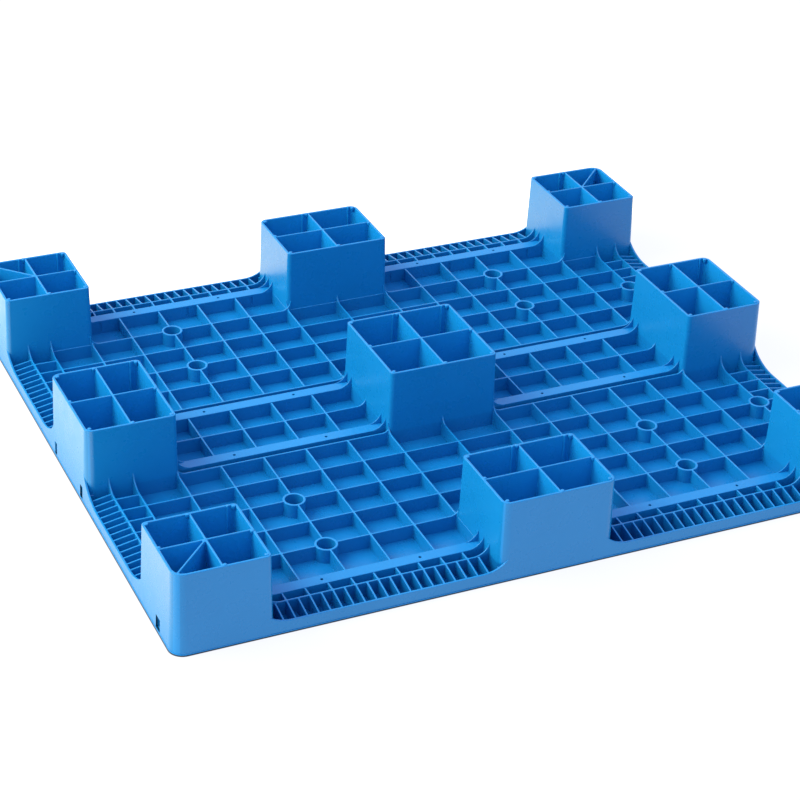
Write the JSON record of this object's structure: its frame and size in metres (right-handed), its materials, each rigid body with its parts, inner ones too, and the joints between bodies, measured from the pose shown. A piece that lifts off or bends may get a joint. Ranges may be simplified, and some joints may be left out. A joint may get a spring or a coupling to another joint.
{
  "type": "plastic pallet",
  "caption": "Ribbed plastic pallet with hollow feet, shown lying on its load deck with the feet up, and steel tubes in its channels.",
  "frame": {"origin": "centre of the load face, on the surface that the pallet lies on", "axes": "+X along the 1.2 m side, +Y along the 1.0 m side, +Z from the load face to the soles of the feet. The pallet is stored upside down, feet up: turn it over about X for use"},
  "size_m": [1.2, 1, 0.135],
  "materials": {
    "blue_plastic": "satin",
    "steel": "satin"
  },
  "bodies": {
    "root": {"edge_frame_back_left": "blue_plastic", "edge_frame_back_right": "blue_plastic", "edge_frame_front_left": "blue_plastic", "edge_frame_front_right": "blue_plastic", "edge_frame_left_back": "blue_plastic", "edge_frame_left_front": "blue_plastic", "edge_frame_right_back": "blue_plastic", "edge_frame_right_front": "blue_plastic", "foot_back_left": "blue_plastic", "foot_back_middle": "blue_plastic", "foot_back_right": "blue_plastic", "foot_centre_left": "blue_plastic", "foot_centre_middle": "blue_plastic", "foot_centre_right": "blue_plastic", "foot_front_left": "blue_plastic", "foot_front_middle": "blue_plastic", "foot_front_right": "blue_plastic", "load_deck": "blue_plastic", "rib_field_back": "blue_plastic", "rib_field_front": "blue_plastic", "rib_strip_left": "blue_plastic", "rib_strip_right": "blue_plastic", "steel_tube_back_inner": "steel", "steel_tube_back_outer": "steel", "steel_tube_front_inner": "steel", "steel_tube_front_outer": "steel", "tube_channel_back_inner": "blue_plastic", "tube_channel_back_outer": "blue_plastic", "tube_channel_front_inner": "blue_plastic", "tube_channel_front_outer": "blue_plastic"}
  },
  "joints": []
}
